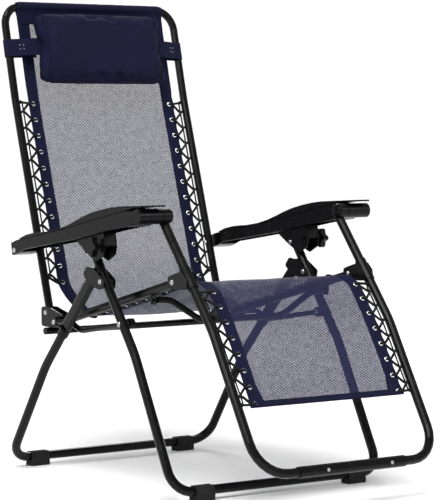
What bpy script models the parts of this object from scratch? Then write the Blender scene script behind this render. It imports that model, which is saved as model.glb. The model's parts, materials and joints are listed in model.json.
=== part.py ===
"""Zero gravity recliner: a folding lounge chair of steel tube with a laced sling.

Metres, +Z up. The origin is on the floor below the middle of the chair, X runs
across it and the sitter faces -Y. Side views are laid out as (forward, height)
pairs, where forward is the distance from the origin towards the sitter's feet.
"right" and "left" are the sitter's: right is -X and left is +X.
"""

import math

import bmesh
import bpy
from mathutils import Matrix, Vector

# ---------------------------------------------------------------- dimensions

GAP = 0.0003
SIDES = {"right": -1, "left": 1}

# tube radii
LEG_TUBE = 0.0107
BACK_TUBE = 0.0095
FOOT_TUBE = 0.0105
SEAT_TUBE = 0.0100
CROSS_TUBE = 0.0085
BRACE_TUBE = 0.0075
LINK_ROD = 0.0062

# planes of the tubes, measured from the middle of the chair
LEG_X = 0.290
FRAME_X = 0.248
LINK_X = 0.2695

# pivots, (forward, height)
BACK_PIVOT = (-0.3005, 0.3765)
ARM_REAR_PIVOT = (-0.3470, 0.5225)
ARM_FRONT_PIVOT = (0.1650, 0.6215)
KNEE_PIVOT = (0.2115, 0.4755)
LINK_REAR_PIVOT = (-0.2430, 0.3587)
LINK_FRONT_PIVOT = (0.0618, 0.3760)
SCISSOR_PIVOT = (-0.0045, 0.4670)
LOCK_PIVOT = (-0.0535, 0.5350)

# centre lines of the bent tubes, (forward, height)
BAR_HEIGHT = 0.0222
FRONT_LEG = [(-0.0629, 0.5480), (0.1101, 0.3088), (0.2565, BAR_HEIGHT)]
REAR_LEG = [(-0.1735, 0.3450), (-0.2556, 0.2554), (-0.4100, BAR_HEIGHT)]
REAR_LEG_BAR = [(-0.1680, 0.3505), (-0.0440, 0.4860)]
BACK_FRAME = [(-0.2963, 0.3625), (-0.4508, 0.8764), (-0.5055, 1.1005)]
LEG_FRAME = [(0.1590, 0.6050), (0.3386, 0.3782), (0.5063, 0.0853)]
CROSS_TUBE_AT = (-0.2890, 0.3340)
BRACE_FORWARD = 0.117
BRACE_ROUTE = [(0.2350, 0.4305), (0.1980, 0.4280), (0.1150, 0.3790)]
LINK_ROUTE = [LINK_FRONT_PIVOT, (-0.135, 0.3455), (-0.176, 0.3625), LINK_REAR_PIVOT]

# bends
FLOOR_BEND = 0.050
FOOT_BEND = 0.075
HEAD_BEND = 0.050
SOFT_BEND = 0.220

# armrest, laid out along and square to the line between its two pivots
ARM_INNER = 0.2625
ARM_OUTER = 0.3180
ARM_WALL = 0.0030
GRIP_RADIUS = 0.0168
GRIP_CENTRE = (0.1650, 0.6175)
GRIP_OUTER = 0.3250
COLLAR_INNER = 0.2310
COLLAR_OUTER = 0.2612

# plates
PLATE = 0.0025
BOLT = 0.0032
BOLT_HEAD = 0.0062
KNOB_STEPS = 30

# sling, the rods it is laced to, and headrest
LACING_ROD = 0.0020
LACING_INSET = 0.0175
LACING_RUNS = {"back": (0.455, 0.872), "seat": (-0.185, 0.172), "leg": (0.452, 0.226)}
SLING_HALF = 0.2160
SLING_THICK = 0.0030
PILLOW_HALF = 0.1850

MATERIALS = {
    "black_paint": ((0.012, 0.012, 0.013), 0.32, 0.0),
    "black_plastic": ((0.010, 0.010, 0.011), 0.42, 0.0),
    "black_rubber": ((0.015, 0.015, 0.015), 0.75, 0.0),
    "steel": ((0.55, 0.55, 0.56), 0.30, 1.0),
    "mesh_grey": ((0.33, 0.33, 0.36), 0.80, 0.0),
    "navy_fabric": ((0.012, 0.013, 0.060), 0.75, 0.0),
}


# ------------------------------------------------------------------- helpers

def at(x, point):
    """A point of the side view, moved to its place across the chair."""
    return Vector((x, -point[0], point[1]))


def clear_scene():
    for obj in list(bpy.data.objects):
        bpy.data.objects.remove(obj, do_unlink=True)


def new_collection(name):
    collection = bpy.data.collections.new(name)
    bpy.context.scene.collection.children.link(collection)
    return collection


clear_scene()
PARTS = new_collection("zero_gravity_recliner")
CUTTERS = new_collection("cutters")


def paint(obj, finish):
    """Give the object a material of its own in the named finish."""
    colour, roughness, metallic = MATERIALS[finish]
    material = bpy.data.materials.new(obj.name + "_" + finish)
    material.use_nodes = True
    shader = material.node_tree.nodes["Principled BSDF"]
    shader.inputs["Base Color"].default_value = (*colour, 1.0)
    shader.inputs["Roughness"].default_value = roughness
    shader.inputs["Metallic"].default_value = metallic
    obj.data.materials.clear()
    obj.data.materials.append(material)
    return obj


def place(name, data, collection=PARTS):
    obj = bpy.data.objects.new(name, data)
    collection.objects.link(obj)
    return obj


def fillet(points, radii, step_deg=12.0):
    """A polyline whose inner corners are replaced by arcs of the given radii."""
    route = [points[0].copy()]
    for before, corner, after, radius in zip(points, points[1:], points[2:], radii):
        back = (before - corner).normalized()
        on = (after - corner).normalized()
        turn = math.pi - back.angle(on)
        reach = radius * math.tan(turn / 2)
        centre = corner + (back + on).normalized() * (radius / math.cos(turn / 2))
        start = corner + back * reach - centre
        axis = start.cross(corner + on * reach - centre).normalized()
        steps = max(2, round(math.degrees(turn) / step_deg))
        for i in range(steps + 1):
            route.append(centre + Matrix.Rotation(turn * i / steps, 3, axis) @ start)
    route.append(points[-1].copy())
    return route


def tube(name, route, radius, finish, resolution=4, collection=PARTS):
    """A round bar swept along a polyline, as a mesh with closed ends."""
    curve = bpy.data.curves.new(name, "CURVE")
    curve.dimensions = "3D"
    curve.bevel_depth = radius
    curve.bevel_resolution = resolution
    curve.use_fill_caps = True
    spline = curve.splines.new("POLY")
    spline.points.add(len(route) - 1)
    for point, co in zip(spline.points, route):
        point.co = (*co, 1.0)
    swept = place(name + "_curve", curve, collection)
    bpy.context.view_layer.update()
    evaluated = swept.evaluated_get(bpy.context.evaluated_depsgraph_get())
    mesh = bpy.data.meshes.new_from_object(evaluated)
    bpy.data.objects.remove(swept, do_unlink=True)
    bm = bmesh.new()
    bm.from_mesh(mesh)
    bmesh.ops.remove_doubles(bm, verts=bm.verts, dist=0.00002)
    bmesh.ops.recalc_face_normals(bm, faces=bm.faces)
    bm.to_mesh(mesh)
    bm.free()
    mesh.shade_smooth()
    mesh.set_sharp_from_angle(angle=math.radians(40))
    obj = place(name, mesh, collection)
    if finish:
        paint(obj, finish)
    return obj


def side_frame(name, side, half_width, corner, radius, finish):
    """A U of tube: two mirrored sides joined by a bar at the sides' last point."""
    points = [at(-half_width, p) for p in side] + [at(half_width, p) for p in reversed(side)]
    radii = [SOFT_BEND] * (len(side) - 2) + [corner, corner] + [SOFT_BEND] * (len(side) - 2)
    return tube(name, fillet(points, radii), radius, finish)


def turned(name, profile, centre, finish, toward=1, steps=24, collection=PARTS):
    """A turned piece about the X direction; profile rows are (radius, distance along X)."""
    mesh = bpy.data.meshes.new(name)
    rows = [(radius, 0.0, distance) for radius, distance in profile]
    mesh.from_pydata(rows, [(i, i + 1) for i in range(len(rows) - 1)], [])
    obj = place(name, mesh, collection)
    screw = obj.modifiers.new("turn", "SCREW")
    screw.axis = "Z"
    screw.steps = steps
    screw.render_steps = steps
    screw.use_merge_vertices = True
    screw.merge_threshold = 0.00001
    screw.use_normal_calculate = True
    obj.location = centre
    obj.rotation_euler = (0.0, toward * math.pi / 2, 0.0)
    return bake(obj, finish, smooth_deg=35)


def bake(obj, finish=None, smooth_deg=None):
    """Apply the object's modifiers and transform, leaving plain mesh in world space."""
    bpy.context.view_layer.update()
    evaluated = obj.evaluated_get(bpy.context.evaluated_depsgraph_get())
    mesh = bpy.data.meshes.new_from_object(evaluated)
    mesh.transform(obj.matrix_world)
    obj.modifiers.clear()
    obj.data = mesh
    obj.matrix_world = Matrix.Identity(4)
    bm = bmesh.new()
    bm.from_mesh(mesh)
    bmesh.ops.recalc_face_normals(bm, faces=bm.faces)
    bm.to_mesh(mesh)
    bm.free()
    if smooth_deg:
        mesh.shade_smooth()
        mesh.set_sharp_from_angle(angle=math.radians(smooth_deg))
    if finish:
        paint(obj, finish)
    return obj


def slab(name, outline, x_low, x_high, finish=None, collection=PARTS, bevel=0.0):
    """A side-view outline, extruded between two planes across the chair."""
    bm = bmesh.new()
    face = bm.faces.new([bm.verts.new(at(x_low, p)) for p in outline])
    grown = bmesh.ops.extrude_face_region(bm, geom=[face])
    moved = [v for v in grown["geom"] if isinstance(v, bmesh.types.BMVert)]
    bmesh.ops.translate(bm, verts=moved, vec=(x_high - x_low, 0.0, 0.0))
    bmesh.ops.recalc_face_normals(bm, faces=bm.faces)
    mesh = bpy.data.meshes.new(name)
    bm.to_mesh(mesh)
    bm.free()
    obj = place(name, mesh, collection)
    if bevel:
        edge = obj.modifiers.new("edges", "BEVEL")
        edge.width = bevel
        edge.segments = 2
        edge.angle_limit = math.radians(50)
        bake(obj)
    if finish:
        paint(obj, finish)
    return obj


def rounded(outline, radius, step_deg=18.0):
    """A closed side-view outline with its corners rounded."""
    points = [Vector((p[0], p[1], 0.0)) for p in outline]
    ring = [points[-1]] + points + [points[0]]
    smooth = fillet(ring, [radius] * len(points), step_deg)[1:-1]
    return [(p.x, p.y) for p in smooth]


def circle(centre, radius, steps=20):
    return [(centre[0] + radius * math.cos(2 * math.pi * i / steps),
             centre[1] + radius * math.sin(2 * math.pi * i / steps)) for i in range(steps)]


def combine(obj, others, operation):
    """Join the others to the object, or cut them from it."""
    for other in others:
        boolean = obj.modifiers.new(operation.lower(), "BOOLEAN")
        boolean.operation = operation
        boolean.solver = "EXACT"
        boolean.object = other
    bake(obj)
    for other in others:
        bpy.data.objects.remove(other, do_unlink=True)
    return obj


def pin_cutter(centre, radius, x_low, x_high):
    return slab("cut", circle(centre, radius), x_low, x_high, collection=CUTTERS)


def drill(obj, centre, sign, reach=(0.20, 0.34), radius=BOLT + GAP):
    """A bolt hole across the object, on one side of the chair."""
    low, high = sorted((sign * reach[0], sign * reach[1]))
    return combine(obj, [pin_cutter(centre, radius, low, high)], "DIFFERENCE")


def lacing_rod(sign, run):
    """A thin rod beside the inside of a frame tube, bent out into it at both ends."""
    inside = [at(sign * (FRAME_X - LACING_INSET), p) for p in run]
    ends = [at(sign * (FRAME_X - 0.002), p) for p in (run[0], run[-1])]
    route = fillet([ends[0]] + inside + [ends[1]], [0.006] * len(run), 30.0)
    return tube("rod", route, LACING_ROD, None, 1)


def weld_rods(frame, run, signs=(-1, 1)):
    return combine(frame, [lacing_rod(sign, run) for sign in signs], "UNION")


def finish_mesh(obj, finish, smooth_deg=35):
    obj.data.shade_smooth()
    obj.data.set_sharp_from_angle(angle=math.radians(smooth_deg))
    return paint(obj, finish)


def bolt(name, centre, sign, inner, outer, head=BOLT_HEAD):
    """A pivot bolt with a domed head at each end, between two distances from the middle."""
    dome = 0.0026
    profile = [
        (0.0, outer + dome + GAP), (0.75 * head, outer + 0.7 * dome + GAP),
        (head, outer + GAP), (BOLT, outer + GAP), (BOLT, inner - GAP), (head, inner - GAP),
        (0.75 * head, inner - 0.7 * dome - GAP), (0.0, inner - dome - GAP),
    ]
    return turned(name, profile, at(0.0, centre), "steel", toward=sign, steps=12)


def arm_point(along, above):
    """A point in the armrest's own axes: along its pivot line, and above that line."""
    rear = Vector(ARM_REAR_PIVOT)
    run = (Vector(ARM_FRONT_PIVOT) - rear).normalized()
    rise = Vector((-run.y, run.x))
    point = rear + run * along + rise * above
    return (point.x, point.y)


KNOB_CENTRE = arm_point(0.3406, -0.0419)


def pivot(name, point):
    """An empty on a joint's axis, which the moving pieces hang from."""
    empty = place(name, None)
    empty.location = at(0.0, point)
    return empty


def hang(empty, pieces):
    for piece in pieces:
        piece.parent = empty
        piece.matrix_parent_inverse = Matrix.Translation(-empty.location)


# ---------------------------------------------------------------- front legs

def front_legs():
    frame = side_frame("front_leg_frame", FRONT_LEG, LEG_X, FLOOR_BEND, LEG_TUBE, None)
    for sign in SIDES.values():
        for centre in (LOCK_PIVOT, SCISSOR_PIVOT, LINK_FRONT_PIVOT):
            drill(frame, centre, sign)
    finish_mesh(frame, "black_paint")
    pads = foot_pads("front", FRONT_LEG[-1])
    bolts = [bolt("scissor_bolt_" + side, SCISSOR_PIVOT, sign, 0.2735, 0.3065)
             for side, sign in SIDES.items()]
    return [frame] + pads + bolts


def foot_pads(which, bar):
    """Ribbed plastic feet that clip under a floor bar."""
    pads = []
    for side, sign in SIDES.items():
        block = rounded([(bar[0] - 0.0150, 0.0), (bar[0] + 0.0150, 0.0),
                         (bar[0] + 0.0150, 0.0200), (bar[0] + 0.0100, 0.0345),
                         (bar[0] - 0.0100, 0.0345), (bar[0] - 0.0150, 0.0200)], 0.003)
        low, high = sorted((sign * 0.190, sign * 0.2385))
        pad = slab(f"{which}_foot_pad_{side}", block, low, high)
        bore = slab("cut", circle((bar[0], bar[1]), LEG_TUBE + GAP, 24),
                    low - 0.01, high + 0.01, collection=CUTTERS)
        slit = slab("cut", [(bar[0] - 0.004, bar[1]), (bar[0] + 0.004, bar[1]),
                            (bar[0] + 0.004, 0.05), (bar[0] - 0.004, 0.05)],
                    low - 0.01, high + 0.01, collection=CUTTERS)
        combine(pad, [bore, slit], "DIFFERENCE")
        pads.append(finish_mesh(pad, "black_rubber"))
    return pads


# ----------------------------------------------------------------- rear legs

def rear_legs():
    pieces = [side_frame("rear_leg_frame", REAR_LEG, LEG_X, FLOOR_BEND, LEG_TUBE, "black_paint")]
    run = (Vector(REAR_LEG_BAR[1]) - Vector(REAR_LEG_BAR[0])).normalized()
    across = Vector((-run.y, run.x))
    for side, sign in SIDES.items():
        low, high = sorted((sign * (LEG_X - 0.007), sign * (LEG_X + 0.007)))
        start, end = Vector(REAR_LEG_BAR[0]), Vector(REAR_LEG_BAR[1])
        outline = [start + across * 0.0145, start - across * 0.0145,
                   end - across * 0.0145, end + across * 0.0145]
        bar = slab("rear_leg_bar_" + side, outline, low, high, "black_paint", bevel=0.0055)
        bar.data.shade_smooth()
        bar.data.set_sharp_from_angle(angle=math.radians(35))
        pieces.append(bar)
        pieces.append(leg_collar(side, sign))
        pieces.append(scissor_bracket(side, sign))
    return pieces + foot_pads("rear", REAR_LEG[-1])


def leg_collar(side, sign):
    """The plastic collar where the round rear leg enters its flattened upper bar."""
    top, bottom = Vector(REAR_LEG_BAR[0]), Vector(REAR_LEG[1])
    down = (bottom - top).normalized()
    start = top + down * 0.0006
    end = start + down * 0.0220
    ring = tube("rear_leg_collar_" + side, [at(sign * LEG_X, start), at(sign * LEG_X, end)],
                0.0136, None)
    hole = tube("cut", [at(sign * LEG_X, start - down * 0.02), at(sign * LEG_X, end + down * 0.02)],
                LEG_TUBE + 2 * GAP, None, 8, CUTTERS)
    combine(ring, [hole], "DIFFERENCE")
    return finish_mesh(ring, "black_plastic")


def scissor_bracket(side, sign):
    """The U-shaped ear bracket that holds the rear leg's top on the front leg."""
    outline = rounded([(-0.0730, 0.4795), (-0.0570, 0.4985), (-0.0300, 0.4950),
                       (0.0120, 0.4700), (0.0080, 0.4510), (-0.0120, 0.4490),
                       (-0.0490, 0.4600)], 0.006)
    start, end = Vector(REAR_LEG_BAR[0]), Vector(REAR_LEG_BAR[1])
    run = (end - start).normalized()
    across = Vector((-run.y, run.x))
    web = [end - run * back + across * out
           for back, out in ((0.020, 0.0150), (0.004, 0.0150), (0.004, 0.0170), (0.020, 0.0170))]
    bracket = channel_bracket("scissor_bracket_" + side, outline, web, sign, 0.2735, 0.3065)
    drill(bracket, SCISSOR_PIVOT, sign)
    return finish_mesh(bracket, "black_paint")


def channel_bracket(name, outline, web, sign, inner, outer):
    """Two like plates, facing each other across the chair, joined by a web."""
    plates = []
    for low, high in ((inner, inner + PLATE), (outer - PLATE, outer)):
        a, b = sorted((sign * low, sign * high))
        plates.append(slab(name, outline, a, b))
    a, b = sorted((sign * (inner + 0.0006), sign * (outer - 0.0006)))
    bracket = combine(plates[0], [plates[1], slab("web", web, a, b)], "UNION")
    bracket.name = name
    return bracket


# ------------------------------------------------------------- recline links

def recline_links():
    pieces = []
    for side, sign in SIDES.items():
        route = fillet([at(sign * LINK_X, p) for p in LINK_ROUTE], [0.03, 0.03])
        link = tube("recline_link_" + side, route, LINK_ROD, None)
        eyes = []
        for centre in (LINK_FRONT_PIVOT, LINK_REAR_PIVOT):
            low, high = sorted((sign * (LINK_X - 0.0066), sign * (LINK_X + 0.0066)))
            eyes.append(slab("eye", circle(centre, 0.0118, 24), low, high))
        combine(link, eyes, "UNION")
        drill(link, LINK_FRONT_PIVOT, sign)
        drill(link, LINK_REAR_PIVOT, sign)
        pieces.append(finish_mesh(link, "black_paint"))
        pieces.append(bolt("link_rear_bolt_" + side, LINK_REAR_PIVOT, sign, 0.2345, 0.2761))
    return pieces


def link_front_bolts():
    return [bolt("link_front_bolt_" + side, LINK_FRONT_PIVOT, sign, 0.2629, 0.3007)
            for side, sign in SIDES.items()]


# ---------------------------------------------------------------- seat frame

def seat_frame():
    pieces = []
    rear, knee = Vector(LINK_REAR_PIVOT), Vector(KNEE_PIVOT)
    run = (knee - rear).normalized()
    for side, sign in SIDES.items():
        ends = (rear - run * 0.0190, knee + run * 0.0120)
        rail = tube("seat_rail_" + side, [at(sign * FRAME_X, p) for p in ends], SEAT_TUBE, None)
        laced = [rear + run * ((f - rear.x) / run.x) for f in LACING_RUNS["seat"]]
        weld_rods(rail, laced, [sign])
        drill(rail, LINK_REAR_PIVOT, sign)
        drill(rail, KNEE_PIVOT, sign)
        pieces.append(finish_mesh(rail, "black_paint"))
        pieces.append(rear_bracket(side, sign))
        over_brace = rear + run * ((BRACE_FORWARD - rear.x) / run.x)
        pieces.append(brace_lug(side, sign, over_brace, run))
    ends = [Vector((-0.2700, -CROSS_TUBE_AT[0], CROSS_TUBE_AT[1])),
            Vector((0.2700, -CROSS_TUBE_AT[0], CROSS_TUBE_AT[1]))]
    pieces.append(tube("rear_cross_tube", ends, CROSS_TUBE, "black_paint"))
    return pieces + [seat_brace()]


def rear_bracket(side, sign):
    """The channel under the back frame's foot; it carries the rail and the cross tube."""
    outline = rounded([(-0.3180, 0.3900), (-0.2850, 0.3900), (-0.2250, 0.3740),
                       (-0.2250, 0.3440), (-0.3180, 0.3440)], 0.007)
    web = [(-0.3100, 0.3430), (-0.2660, 0.3430), (-0.2660, 0.3455), (-0.3100, 0.3455)]
    bracket = channel_bracket("rear_bracket_" + side, outline, web, sign, 0.2345, 0.2615)
    drill(bracket, BACK_PIVOT, sign)
    drill(bracket, LINK_REAR_PIVOT, sign)
    return finish_mesh(bracket, "black_paint")


def brace_lug(side, sign, rail_point, run):
    """The tab that hangs the seat brace below its rail."""
    low, high = sorted((sign * 0.2435, sign * 0.2465))
    saddle = rail_point.y - 0.5 * SEAT_TUBE
    tab = slab("brace_lug_" + side, rounded([
        (BRACE_FORWARD - 0.011, saddle), (BRACE_FORWARD + 0.011, saddle),
        (BRACE_FORWARD + 0.009, 0.4205), (BRACE_FORWARD - 0.009, 0.4205)], 0.003), low, high)
    ends = (rail_point - run * 0.05, rail_point + run * 0.05)
    rail = tube("cut", [at(sign * FRAME_X, p) for p in ends], SEAT_TUBE + GAP, None, 8, CUTTERS)
    combine(tab, [rail], "DIFFERENCE")
    drill(tab, (BRACE_FORWARD, BRACE_ROUTE[0][1]), sign)
    return finish_mesh(tab, "black_paint")


def seat_brace():
    """The tube bowed down under the sling, between the two seat rails."""
    half = [Vector((x, -BRACE_FORWARD, h)) for x, h in BRACE_ROUTE]
    points = [Vector((-p.x, p.y, p.z)) for p in half] + list(reversed(half))
    brace = tube("seat_brace", fillet(points, [0.05, 0.07, 0.07, 0.05]), BRACE_TUBE, None)
    studs = []
    for sign in SIDES.values():
        low, high = sorted((sign * 0.2300, sign * 0.2510))
        studs.append(slab("stud", circle((BRACE_FORWARD, BRACE_ROUTE[0][1]), BOLT, 16), low, high))
    combine(brace, studs, "UNION")
    return finish_mesh(brace, "black_paint")


# ---------------------------------------------------------------- back frame

def back_frame():
    frame = side_frame("back_frame", BACK_FRAME, FRAME_X, HEAD_BEND, BACK_TUBE, None)
    foot, bend = Vector(BACK_FRAME[0]), Vector(BACK_FRAME[1])
    laced = [foot.lerp(bend, (h - foot.y) / (bend.y - foot.y)) for h in LACING_RUNS["back"]]
    weld_rods(frame, laced)
    for sign in SIDES.values():
        drill(frame, BACK_PIVOT, sign)
        drill(frame, ARM_REAR_PIVOT, sign)
    return finish_mesh(frame, "black_paint")


def back_pivot_bolts():
    return [bolt("back_bolt_" + side, BACK_PIVOT, sign, 0.2345, 0.2615)
            for side, sign in SIDES.items()]


# ----------------------------------------------------------------- leg frame

def leg_frame():
    frame = side_frame("leg_frame", LEG_FRAME, FRAME_X, FOOT_BEND, FOOT_TUBE, None)
    cuts = []
    for sign in SIDES.values():
        low, high = sorted((sign * 0.20, sign * 0.29))
        cuts.append(slab("cut", circle(GRIP_CENTRE, GRIP_RADIUS + GAP, 32), low, high,
                         collection=CUTTERS))
    combine(frame, cuts, "DIFFERENCE")
    top, bend, bar = (Vector(p) for p in LEG_FRAME)
    high, low = LACING_RUNS["leg"]
    laced = [top.lerp(bend, (top.y - high) / (top.y - bend.y)), bend - Vector((0.004, 0.0)),
             bend.lerp(bar, (bend.y - low) / (bend.y - bar.y))]
    weld_rods(frame, laced)
    pieces = [finish_mesh(frame, "black_paint")]
    for side, sign in SIDES.items():
        pieces.append(leg_collar_top(side, sign))
        pieces.append(knee_sleeve(side, sign))
        pieces.append(knee_bracket(side, sign))
    sleeve = tube("foot_sleeve", [at(-0.1475, bar), at(0.1475, bar)], 0.0128, None)
    hole = tube("cut", [at(-0.17, bar), at(0.17, bar)], FOOT_TUBE + GAP, None, 6, CUTTERS)
    combine(sleeve, [hole], "DIFFERENCE")
    return pieces + [finish_mesh(sleeve, "black_plastic")]


def leg_collar_top(side, sign):
    """The domed collar on the leg frame's top, which turns at the armrest's grip."""
    dome = [(GRIP_RADIUS * math.sin(a), COLLAR_INNER + 0.009 * (1 - math.cos(a)))
            for a in [math.radians(d) for d in (90, 68, 46, 24)]]
    profile = [(0.0, COLLAR_OUTER), (GRIP_RADIUS, COLLAR_OUTER)] + dome + [(0.0, COLLAR_INNER)]
    return turned("leg_collar_" + side, profile, at(0.0, GRIP_CENTRE), "black_plastic",
                  toward=sign, steps=32)


def knee_sleeve(side, sign):
    """The short outer sleeve that joins the leg frame's upper and lower tubes."""
    top, bend = Vector(LEG_FRAME[0]), Vector(LEG_FRAME[1])
    run = (bend - top).normalized()
    start = top + run * ((0.5060 - top.y) / run.y)
    end = start + run * 0.0540
    ring = tube("knee_sleeve_" + side, [at(sign * FRAME_X, start), at(sign * FRAME_X, end)],
                0.0128, None)
    hole = tube("cut", [at(sign * FRAME_X, start - run * 0.02), at(sign * FRAME_X, end + run * 0.02)],
                FOOT_TUBE + GAP, None, 6, CUTTERS)
    combine(ring, [hole], "DIFFERENCE")
    return finish_mesh(ring, "black_paint")


def knee_bracket(side, sign):
    """Two plates and a web behind the knee sleeve; the seat rail turns between them."""
    outline = rounded([(0.1960, 0.4860), (0.2050, 0.4900), (0.2460, 0.5020), (0.2620, 0.4870),
                       (0.2680, 0.4620), (0.2060, 0.4600), (0.1960, 0.4660)], 0.0045)
    web = [(0.2363, 0.4860), (0.2553, 0.4625), (0.2515, 0.4625), (0.2325, 0.4860)]
    bracket = channel_bracket("knee_bracket_" + side, outline, web, sign, 0.2323, 0.2637)
    drill(bracket, KNEE_PIVOT, sign)
    return finish_mesh(bracket, "black_paint")


def knee_bolts():
    return [bolt("knee_bolt_" + side, KNEE_PIVOT, sign, 0.2323, 0.2637)
            for side, sign in SIDES.items()]


# ------------------------------------------------------------------ armrests

def armrests():
    pieces = []
    for side, sign in SIDES.items():
        pieces.append(arm_channel(side, sign))
        pieces.append(arm_pad(side, sign))
    return pieces


def arm_channel(side, sign):
    """The downward-open channel of the armrest, with the grip across its front."""
    shell = [arm_point(*p) for p in (
        (-0.0115, -0.0105), (0.0120, -0.0100), (0.0400, -0.0045), (0.2500, -0.0135),
        (0.4000, -0.0150), (0.4850, -0.0185), (0.5150, -0.0100), (0.5150, 0.0100),
        (0.4700, 0.0184), (0.3200, 0.0173), (0.1800, 0.0176), (0.0120, 0.0220),
        (-0.0115, 0.0190))]
    hollow = [arm_point(*p) for p in (
        (0.0240, -0.0400), (0.4700, -0.0400), (0.4700, 0.0152), (0.0240, 0.0152))]
    low, high = sorted((sign * ARM_INNER, sign * ARM_OUTER))
    channel = slab("armrest_channel_" + side, shell, low, high, bevel=0.002)
    hollow_low, hollow_high = low + ARM_WALL, high - ARM_WALL
    cut = slab("cut", hollow, hollow_low, hollow_high, collection=CUTTERS)
    combine(channel, [cut], "DIFFERENCE")
    low, high = sorted((sign * (ARM_INNER + 0.0004), sign * GRIP_OUTER))
    grip = slab("grip", circle(GRIP_CENTRE, GRIP_RADIUS, 32), low, high)
    combine(channel, [grip], "UNION")
    drill(channel, ARM_REAR_PIVOT, sign)
    return finish_mesh(channel, "black_plastic")


def arm_pad(side, sign):
    """The waved top of the armrest."""
    top = [(-0.332, 0.549), (-0.300, 0.560), (-0.268, 0.566), (-0.240, 0.569), (-0.212, 0.571),
           (-0.170, 0.577), (-0.132, 0.586), (-0.098, 0.597), (-0.064, 0.609), (-0.030, 0.619),
           (0.007, 0.627), (0.042, 0.633), (0.077, 0.637), (0.120, 0.6395), (0.188, 0.6430)]
    under = [arm_point(along, above + GAP) for along, above in (
        (0.4700, 0.0184), (0.3200, 0.0173), (0.1800, 0.0176), (0.0300, 0.0213))]
    lip = [(0.188, 0.6390), (0.150, 0.6375)]
    low, high = sorted((sign * (ARM_INNER + 0.001), sign * (ARM_OUTER - 0.001)))
    pad = slab("armrest_pad_" + side, top + lip + under, low, high, bevel=0.0012)
    return finish_mesh(pad, "black_plastic")


def armrest_bolts():
    return [bolt("armrest_bolt_" + side, ARM_REAR_PIVOT, sign, 0.2385, 0.3180)
            for side, sign in SIDES.items()]


# --------------------------------------------------------------- recline lock

def lock_brackets():
    """The clamp bracket on each front leg's top, inside the armrest's channel."""
    outline = [arm_point(*p) for p in (
        (0.2425, -0.0102), (0.2877, -0.0500), (0.3226, -0.0730), (0.3533, -0.0637),
        (0.3620, -0.0450), (0.3620, -0.0102))]
    web = [arm_point(*p) for p in (
        (0.3575, -0.0130), (0.3575, -0.0440), (0.3610, -0.0440), (0.3610, -0.0130))]
    brackets = []
    for side, sign in SIDES.items():
        bracket = channel_bracket("lock_bracket_" + side, rounded(outline, 0.006), web,
                                  sign, 0.2735, 0.3065)
        drill(bracket, LOCK_PIVOT, sign)
        drill(bracket, KNOB_CENTRE, sign)
        brackets.append(finish_mesh(bracket, "black_plastic"))
    return brackets


def lock_bolts():
    return [bolt("lock_bolt_" + side, LOCK_PIVOT, sign, 0.2735, 0.3065)
            for side, sign in SIDES.items()]


def lock_knob(side, sign):
    """A five-lobed clamp knob with its screw."""
    centre = KNOB_CENTRE
    lobes = []
    for i in range(KNOB_STEPS):
        angle = 2 * math.pi * i / KNOB_STEPS
        radius = 0.0195 + 0.0040 * math.cos(5 * angle)
        lobes.append((centre[0] + radius * math.cos(angle), centre[1] + radius * math.sin(angle)))
    low, high = sorted((sign * 0.3195, sign * 0.3340))
    knob = slab("lock_knob_" + side, lobes, low, high)
    shaft = turned("shaft", [(0.0, 0.3200), (BOLT, 0.3200), (BOLT, 0.2730), (BOLT_HEAD, 0.2730),
                             (BOLT_HEAD, 0.2705), (0.0, 0.2705)],
                   at(0.0, centre), None, toward=sign, steps=20)
    combine(knob, [shaft], "UNION")
    return finish_mesh(knob, "black_plastic")


# ---------------------------------------------------------- sling and headrest

def panel(name, profile, half_width):
    """A stretch of the sling: a sheet of even thickness that follows a side profile."""
    bm = bmesh.new()
    rows = [[bm.verts.new(at(x, p)) for x in (-half_width, half_width)] for p in profile]
    for a, b in zip(rows, rows[1:]):
        bm.faces.new((a[0], b[0], b[1], a[1]))
    mesh = bpy.data.meshes.new(name)
    bm.to_mesh(mesh)
    bm.free()
    obj = place(name, mesh)
    skin = obj.modifiers.new("thickness", "SOLIDIFY")
    skin.thickness = SLING_THICK
    skin.offset = 0.0
    skin.use_even_offset = True
    return bake(obj, "mesh_grey", smooth_deg=60)


def arc_between(start, end, sag, steps=10):
    """Points of a shallow curve between two ends, bowed sideways by the sag."""
    a, b = Vector(start), Vector(end)
    across = (b - a).normalized()
    across = Vector((across.y, -across.x))
    return [tuple(a.lerp(b, i / steps) + across * sag * 4 * (i / steps) * (1 - i / steps))
            for i in range(steps + 1)]


def back_sling():
    return panel("back_sling", arc_between((-0.4990, 1.0850), (-0.3165, 0.4450), -0.004),
                 SLING_HALF)


def seat_sling():
    """The seat drops off the back's foot, follows the rails with a sag, and meets the knee."""
    rear = arc_between((-0.3080, 0.4350), (-0.2000, 0.3750), 0.012, 5)
    rest = arc_between((-0.2000, 0.3750), (0.2080, 0.4700), 0.014)
    return panel("seat_sling", rear + rest[1:], SLING_HALF)


def leg_sling():
    knee = arc_between((0.2180, 0.4745), (0.2790, 0.4500), -0.006, 4)
    rest = arc_between((0.2790, 0.4500), (0.4290, 0.2150), -0.012)
    return panel("leg_sling", knee + rest[1:], SLING_HALF)


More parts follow.
